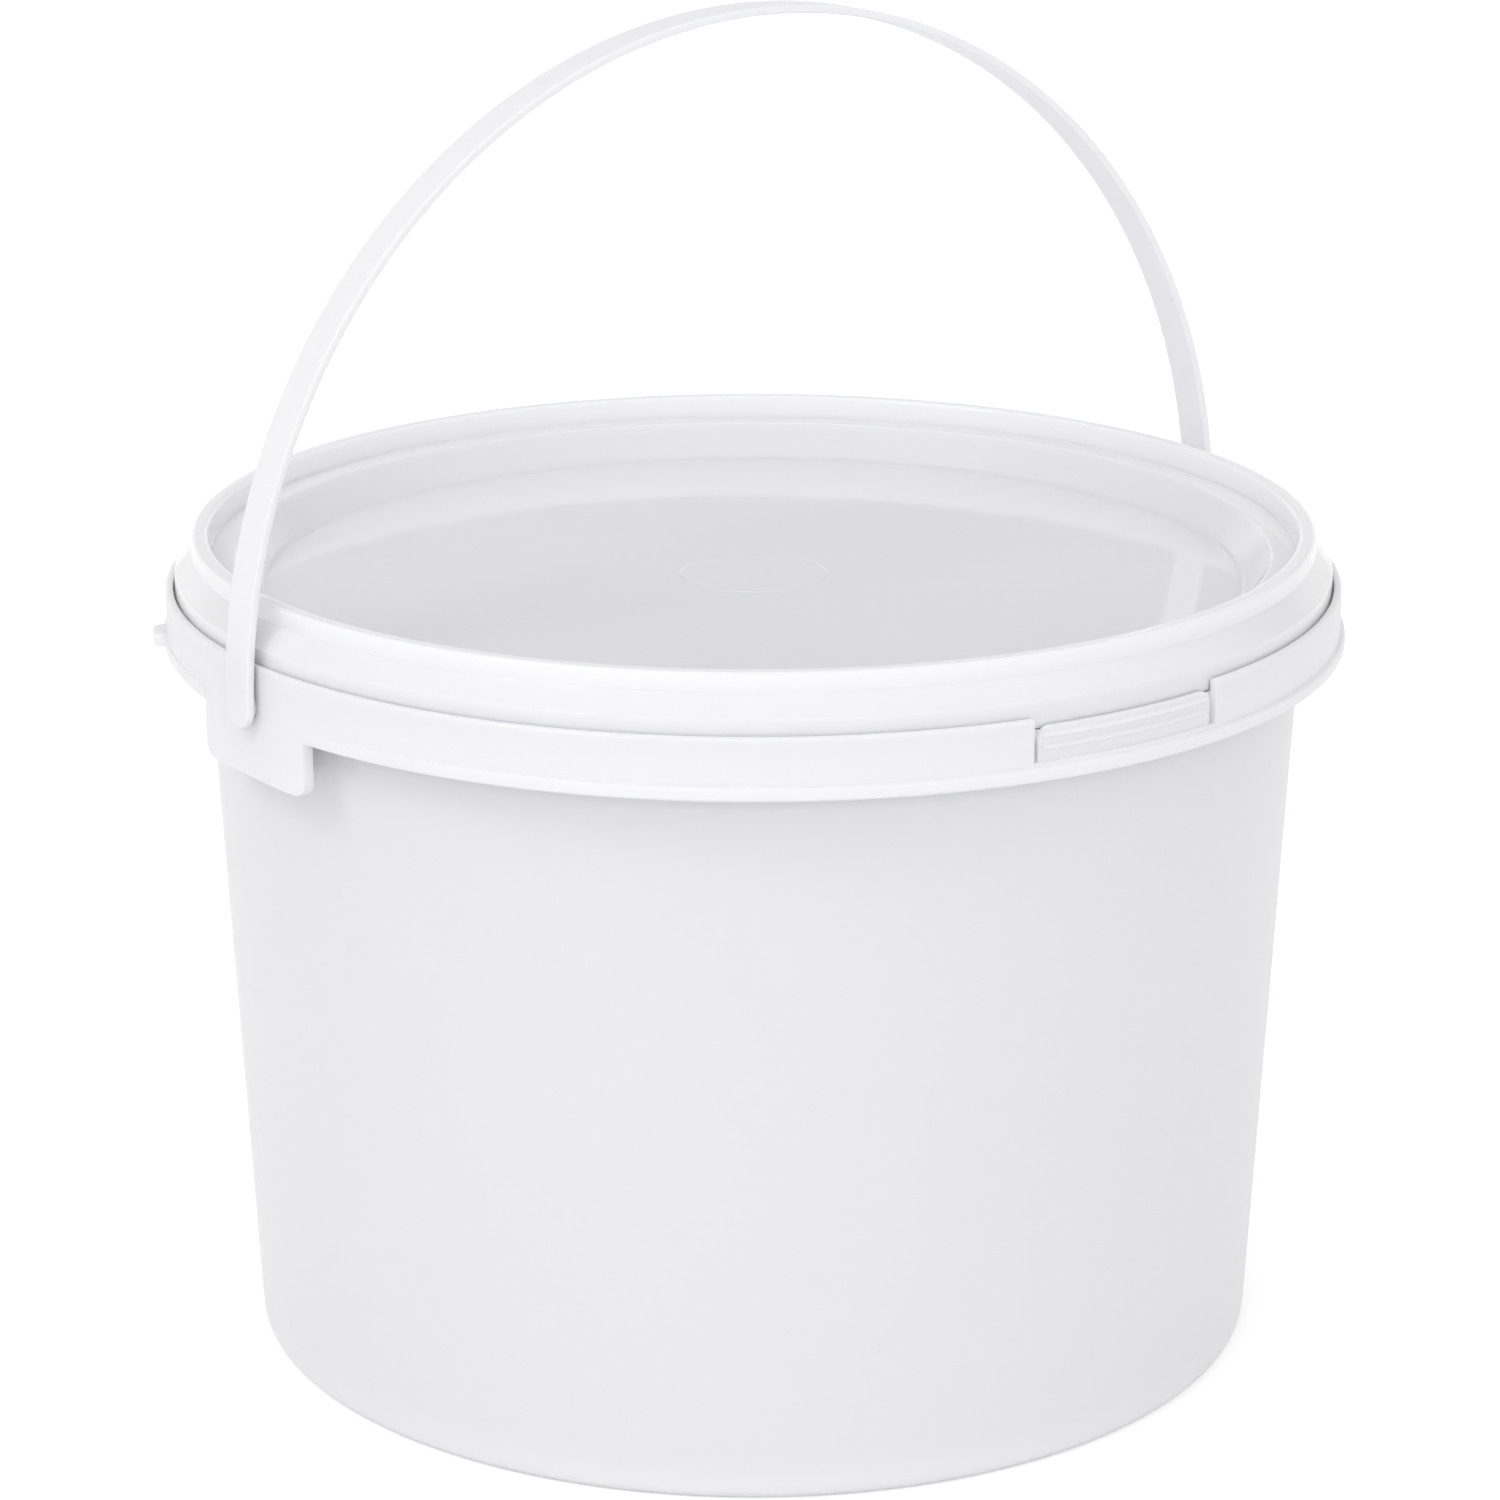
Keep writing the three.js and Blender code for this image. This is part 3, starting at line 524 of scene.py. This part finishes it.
def lid_profile():
    """The lid's section: panel, slope, ledge, ring, shoulder, skirt, snap leg, channel and plug ring."""
    skirt = COLLAR_INNER_RADIUS - SKIRT_GAP
    skirt_inner = skirt - LID_THICKNESS
    skirt_bottom = WEB_TOP + SKIRT_LIFT
    channel = RIM_BEAD_RADIUS + SEAT_GAP
    leg_outer = channel + SNAP_LEG_THICKNESS
    leg_bottom = skirt_bottom + SNAP_LEG_LIFT
    ceiling = RIM_HEIGHT + SEAT_GAP
    plug_outer = RIM_INNER_RADIUS - SEAT_GAP
    plug_inner = plug_outer - PLUG_THICKNESS
    ledge_under = LEDGE_TOP - LID_THICKNESS
    snap = RIM_BEAD_RADIUS - SNAP_UNDERCUT
    slope = math.degrees(math.atan2(LEDGE_TOP - PANEL_TOP, LEDGE_INNER_RADIUS - PANEL_RADIUS))
    return [
        (0, PANEL_TOP + PANEL_DISC_HEIGHT),
        (PANEL_DISC_RADIUS - PANEL_DISC_HEIGHT, PANEL_TOP + PANEL_DISC_HEIGHT),
        (PANEL_DISC_RADIUS, PANEL_TOP + PANEL_DISC_HEIGHT),
        (PANEL_DISC_RADIUS + PANEL_DISC_HEIGHT * 2, PANEL_TOP),
        (PANEL_DISC_RADIUS + PANEL_DISC_HEIGHT * 3, PANEL_TOP),
        *arc(PANEL_RADIUS - PANEL_FILLET_INSET, PANEL_TOP + PANEL_FILLET, PANEL_FILLET,
             -90, slope - 90, LID_FILLET_STEPS),
        *arc(LEDGE_INNER_RADIUS + LEDGE_FILLET_INSET, LEDGE_TOP - LEDGE_FILLET, LEDGE_FILLET,
             slope + 90, 90, LID_FILLET_STEPS),
        *arc(RING_INNER_RADIUS - RING_FOOT_FILLET, LEDGE_TOP + RING_FOOT_FILLET, RING_FOOT_FILLET,
             270, 360, CREASE_STEPS),
        *arc(RING_INNER_RADIUS + RING_EDGE_RADIUS, RING_TOP - RING_EDGE_RADIUS, RING_EDGE_RADIUS, 180, 90),
        *arc(RING_OUTER_RADIUS - RING_EDGE_RADIUS, RING_TOP - RING_EDGE_RADIUS, RING_EDGE_RADIUS, 90, 0),
        *arc(RING_OUTER_RADIUS + RING_FOOT_FILLET, SHOULDER_TOP + RING_FOOT_LIFT, RING_FOOT_FILLET,
             180, 230, CREASE_STEPS),
        *arc(skirt - SKIRT_ROUND, SHOULDER_BOTTOM - SKIRT_ROUND_DROP, SKIRT_ROUND, 40, 0, LID_FILLET_STEPS),
        (skirt, skirt_bottom),
        (skirt_inner, skirt_bottom),
        (skirt_inner, SHOULDER_BOTTOM - LID_THICKNESS),
        (leg_outer, SHOULDER_BOTTOM),
        (leg_outer, leg_bottom),
        (snap + SNAP_HOOK_TIP / 2, leg_bottom),
        (snap, leg_bottom + SNAP_HOOK_TIP),
        (channel, leg_bottom + SNAP_HOOK_HEIGHT),
        (channel, ceiling),
        (plug_outer, ceiling),
        (plug_outer, ceiling - PLUG_DEPTH),
        (plug_inner, ceiling - PLUG_DEPTH),
        (plug_inner, ledge_under),
        (LEDGE_INNER_RADIUS + UNDERSIDE_SHIFT, ledge_under),
        (PANEL_RADIUS + UNDERSIDE_SHIFT, PANEL_TOP - LID_THICKNESS),
        (0, PANEL_TOP - LID_THICKNESS),
    ]


def make_lid():
    return smooth(turned(lid_profile(), "snap_lid"), LID_SMOOTH_ANGLE)


# Handle

def strip_section(half_width):
    """Points round the strip's section as (across, inward) with rounded edges."""
    edge = min(HANDLE_EDGE, half_width * EDGE_SHARE)
    centres = [
        (half_width - edge, HANDLE_THICKNESS - edge, 0),
        (-half_width + edge, HANDLE_THICKNESS - edge, 90),
        (-half_width + edge, edge, 180),
        (half_width - edge, edge, 270),
    ]
    points = []
    for across, inward, start in centres:
        points += arc(across, inward, edge, start, start + 90, STRIP_EDGE_STEPS)
    return points


def strip_stations():
    """Places along the strip: outer point, inward direction and half width, from one end to the other."""
    half = HANDLE_WIDTH / 2
    reach = HANDLE_INNER_REACH + HANDLE_THICKNESS
    cap = []
    for i in range(1, CAP_STEPS + 1):
        turn = math.pi / 2 * i / CAP_STEPS
        cap.append((half * math.sin(turn) * CAP_SHARE, max(half * math.cos(turn), HANDLE_TIP_WIDTH)))
    stations = [((reach, PIVOT_HEIGHT - drop), (-1, 0), width) for drop, width in reversed(cap)]
    for i in range(ARCH_STEPS + 1):
        turn = math.pi * i / ARCH_STEPS
        point = (reach * math.cos(turn), PIVOT_HEIGHT + HANDLE_RISE * math.sin(turn))
        normal = Vector((-math.cos(turn) / reach, -math.sin(turn) / HANDLE_RISE)).normalized()
        stations.append((point, (normal.x, normal.y), half))
    for drop, width in cap:
        stations.append(((-reach, PIVOT_HEIGHT - drop), (1, 0), width))
    return stations


def make_handle():
    bm = bmesh.new()
    rings = []
    for (x, z), (nx, nz), half_width in strip_stations():
        section = strip_section(half_width)
        rings.append([bm.verts.new((x + nx * inward, across, z + nz * inward)) for across, inward in section])
    count = len(rings[0])
    for low, high in zip(rings, rings[1:]):
        for i in range(count):
            j = (i + 1) % count
            bm.faces.new([low[i], low[j], high[j], high[i]])
    bm.faces.new(rings[0])
    bm.faces.new(rings[-1])
    handle = object_from(bm, "strip_handle")
    head = EAR_INNER_RADIUS - STUD_HEAD_GAP
    head_back = head - STUD_HEAD_THICKNESS
    root = HANDLE_INNER_REACH + HANDLE_THICKNESS / 2
    stud_profile = [
        (0, head_back),
        (STUD_HEAD_RADIUS - STUD_HEAD_CHAMFER, head_back),
        (STUD_HEAD_RADIUS, head_back + STUD_HEAD_CHAMFER),
        (STUD_HEAD_RADIUS, head),
        (STUD_RADIUS, head),
        (STUD_RADIUS, root),
        (0, root),
    ]
    for side in (-1, 1):
        place = Matrix.Translation((0, 0, PIVOT_HEIGHT)) @ Matrix.Rotation(side * math.pi / 2, 4, "Y")
        combine(handle, turned(stud_profile, "stud", STUD_STEPS, place), "UNION")
    return smooth(handle, HANDLE_SMOOTH_ANGLE)


# Materials

def node(tree, kind, **values):
    """A new node whose values go to its inputs by name, or else to its own settings."""
    made = tree.nodes.new(kind)
    for key, value in values.items():
        if key in made.inputs:
            made.inputs[key].default_value = value
        else:
            setattr(made, key, value)
    return made


def value_range(tree, source, from_range, to_range, **values):
    """The output of a node that turns one range of numbers into another."""
    made = node(tree, "ShaderNodeMapRange", **values)
    made.inputs["From Min"].default_value, made.inputs["From Max"].default_value = from_range
    made.inputs["To Min"].default_value, made.inputs["To Max"].default_value = to_range
    tree.links.new(source, made.inputs["Value"])
    return made.outputs["Result"]


def colour_mix(tree, factor, low, high):
    """The output of a node that mixes two colours, each a plain colour or another node's output."""
    made = node(tree, "ShaderNodeMix", data_type="RGBA")
    tree.links.new(factor, made.inputs["Factor"])
    for key, colour in (("A", low), ("B", high)):
        if isinstance(colour, tuple):
            made.inputs[key].default_value = (*colour, 1)
        else:
            tree.links.new(colour, made.inputs[key])
    return made.outputs["Result"]


def noise(tree, coords, **values):
    """The output of a noise that lies on the object."""
    made = node(tree, "ShaderNodeTexNoise", noise_dimensions="4D", **values)
    tree.links.new(coords, made.inputs["Vector"])
    return made.outputs["Fac"]


def panel_shade_mask(tree, coords):
    """Where the panel's painted shade goes: 0 on the lid's panel and 1 outside it."""
    split = node(tree, "ShaderNodeSeparateXYZ")
    plane = node(tree, "ShaderNodeCombineXYZ")
    length = node(tree, "ShaderNodeVectorMath", operation="LENGTH")
    tree.links.new(coords, split.inputs["Vector"])
    tree.links.new(split.outputs["X"], plane.inputs["X"])
    tree.links.new(split.outputs["Y"], plane.inputs["Y"])
    tree.links.new(plane.outputs["Vector"], length.inputs[0])
    edge = (PANEL_PAINTED_SHADE_START * MM, PANEL_PAINTED_SHADE_END * MM)
    return value_range(tree, length.outputs["Value"], edge, (0, 1), interpolation_type="SMOOTHSTEP")


def white_plastic(name, colour, shade, roughness, ripple_scale, seed, panel_painted_shade=None):
    """Moulded white plastic: faint clouding, fine scuffs in the gloss, and a soft moulded ripple.

    The lid's wide panel is thin over the dark inside, so shade is painted into its colour: it is painted
    greyer than the lid's double walls, standing in for the dark inside that shows through.
    """
    material = bpy.data.materials.new(name)
    material.use_nodes = True
    tree = material.node_tree
    shader = tree.nodes["Principled BSDF"]
    shader.inputs["IOR"].default_value = PLASTIC_IOR
    shader.inputs["Subsurface Weight"].default_value = LIGHT_SHARE
    shader.inputs["Subsurface Radius"].default_value = (1.0, 1.0, 1.0)
    shader.inputs["Subsurface Scale"].default_value = LIGHT_DEPTH
    coords = node(tree, "ShaderNodeTexCoord").outputs["Object"]
    cloud = noise(tree, coords, W=seed, Scale=9.0, Detail=3.0, Roughness=0.5)
    scuff = noise(tree, coords, W=seed + 3, Scale=420.0, Detail=6.0, Roughness=0.65)
    ripple = noise(tree, coords, W=seed + 7, Scale=ripple_scale, Detail=2.0)
    base = colour_mix(tree, cloud, shade, colour)
    # the lid's panel is painted greyer: painted shade for the dark inside that shows through the thin panel
    if panel_painted_shade:
        base = colour_mix(tree, panel_shade_mask(tree, coords), panel_painted_shade, base)
    gloss = value_range(tree, scuff, SCUFF_RANGE, [roughness * spread for spread in GLOSS_SPREAD])
    fine = node(tree, "ShaderNodeBump", Strength=0.05, Distance=0.00008)
    bump = node(tree, "ShaderNodeBump", Strength=0.35, Distance=0.0012)
    tree.links.new(scuff, fine.inputs["Height"])
    tree.links.new(ripple, bump.inputs["Height"])
    tree.links.new(fine.outputs["Normal"], bump.inputs["Normal"])
    tree.links.new(base, shader.inputs["Base Color"])
    tree.links.new(gloss, shader.inputs["Roughness"])
    tree.links.new(bump.outputs["Normal"], shader.inputs["Normal"])
    return material


# Camera, lights and floor

def make_camera():
    """The photograph's camera."""
    data = bpy.data.cameras.new("camera")
    data.sensor_width = SENSOR
    data.lens = FOCAL_PIXELS / IMAGE_SIZE * SENSOR
    data.clip_start = 0.01
    camera = bpy.data.objects.new("camera", data)
    camera.location = (
        CAMERA_DISTANCE * math.sin(CAMERA_AZIMUTH),
        -CAMERA_DISTANCE * math.cos(CAMERA_AZIMUTH),
        CAMERA_HEIGHT,
    )
    camera.rotation_euler = (math.pi / 2 - CAMERA_PITCH, 0, CAMERA_AZIMUTH - CAMERA_YAW)
    bpy.context.scene.collection.objects.link(camera)
    bpy.context.scene.camera = camera


def make_lamp(name, azimuth, elevation, distance, size, power, mirrored):
    """A soft box that faces the pail."""
    data = bpy.data.lights.new(name, "AREA")
    data.shape = "RECTANGLE"
    data.size, data.size_y = size
    data.energy = power
    lamp = bpy.data.objects.new(name, data)
    turn = CAMERA_AZIMUTH + math.radians(azimuth)
    rise = math.radians(elevation)
    offset = Vector((math.sin(turn) * math.cos(rise), -math.cos(turn) * math.cos(rise), math.sin(rise)))
    lamp.location = Vector(LAMP_TARGET) + offset * distance
    lamp.rotation_euler = offset.to_track_quat("Z", "Y").to_euler()
    lamp.visible_glossy = mirrored
    bpy.context.scene.collection.objects.link(lamp)


def make_world():
    """Even pale light; plain white to the camera, and to reflections a white horizon under a greyer sky."""
    world = bpy.data.worlds.new("studio")
    bpy.context.scene.world = world
    world.use_nodes = True
    tree = world.node_tree
    tree.nodes.clear()
    light = node(tree, "ShaderNodeBackground", Color=WHITE, Strength=WORLD_LIGHT)
    mirrored = node(tree, "ShaderNodeBackground", Color=WHITE)
    white = node(tree, "ShaderNodeBackground", Color=WHITE, Strength=1.0)
    coords = node(tree, "ShaderNodeTexCoord")
    split = node(tree, "ShaderNodeSeparateXYZ")
    path = node(tree, "ShaderNodeLightPath")
    glossy = node(tree, "ShaderNodeMixShader")
    camera = node(tree, "ShaderNodeMixShader")
    output = node(tree, "ShaderNodeOutputWorld")
    link = tree.links.new
    link(coords.outputs["Generated"], split.inputs["Vector"])
    fade = value_range(tree, split.outputs["Z"], (HORIZON_END, SKY_START), (1.0, SKY_REFLECTED),
                       interpolation_type="SMOOTHSTEP")
    link(fade, mirrored.inputs["Strength"])
    link(path.outputs["Is Glossy Ray"], glossy.inputs["Fac"])
    link(light.outputs["Background"], glossy.inputs[1])
    link(mirrored.outputs["Background"], glossy.inputs[2])
    link(path.outputs["Is Camera Ray"], camera.inputs["Fac"])
    link(glossy.outputs["Shader"], camera.inputs[1])
    link(white.outputs["Background"], camera.inputs[2])
    link(camera.outputs["Shader"], output.inputs["Surface"])


def make_floor():
    """A wide pale disc that takes the pail's shadow."""
    bm = bmesh.new()
    bmesh.ops.create_circle(bm, cap_ends=True, segments=FLOOR_SEGMENTS, radius=FLOOR_RADIUS)
    floor = object_from(bm, "floor")
    material = bpy.data.materials.new("floor_white")
    material.use_nodes = True
    tree = material.node_tree
    shader = tree.nodes["Principled BSDF"]
    shader.inputs["Base Color"].default_value = FLOOR_COLOUR
    shader.inputs["Roughness"].default_value = 0.9
    shader.inputs["Specular IOR Level"].default_value = 0.0
    path = node(tree, "ShaderNodeLightPath")
    seen = node(tree, "ShaderNodeMath", operation="MAXIMUM")
    glow = node(tree, "ShaderNodeMath", operation="MULTIPLY")
    glow.inputs[1].default_value = FLOOR_GLOW
    tree.links.new(path.outputs["Is Camera Ray"], seen.inputs[0])
    tree.links.new(path.outputs["Is Glossy Ray"], seen.inputs[1])
    tree.links.new(seen.outputs["Value"], glow.inputs[0])
    shader.inputs["Emission Color"].default_value = WHITE
    tree.links.new(glow.outputs["Value"], shader.inputs["Emission Strength"])
    floor.data.materials.append(material)


bpy.context.scene.view_settings.view_transform = "Standard"
make_camera()
make_world()
make_floor()
for lamp in LAMPS:
    make_lamp(*lamp)

bucket = make_bucket()
bucket.data.materials.append(white_plastic(
    "bucket_white", BUCKET_COLOUR, BUCKET_SHADE, roughness=0.33, ripple_scale=16.0, seed=1.0))
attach(bucket, "bucket")
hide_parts("bucket")

lid = make_lid()
# the lid's material paints shade into its panel's colour
lid.data.materials.append(white_plastic(
    "lid_white", LID_COLOUR, LID_SHADE, roughness=0.075, ripple_scale=14.0, seed=9.0,
    panel_painted_shade=PANEL_PAINTED_SHADE))
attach(lid, "bucket")
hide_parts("lid")

handle = make_handle()
handle.data.materials.append(white_plastic(
    "handle_white", HANDLE_COLOUR, HANDLE_SHADE, roughness=0.36, ripple_scale=22.0, seed=5.0))
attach(handle, "handle")
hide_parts("handle")
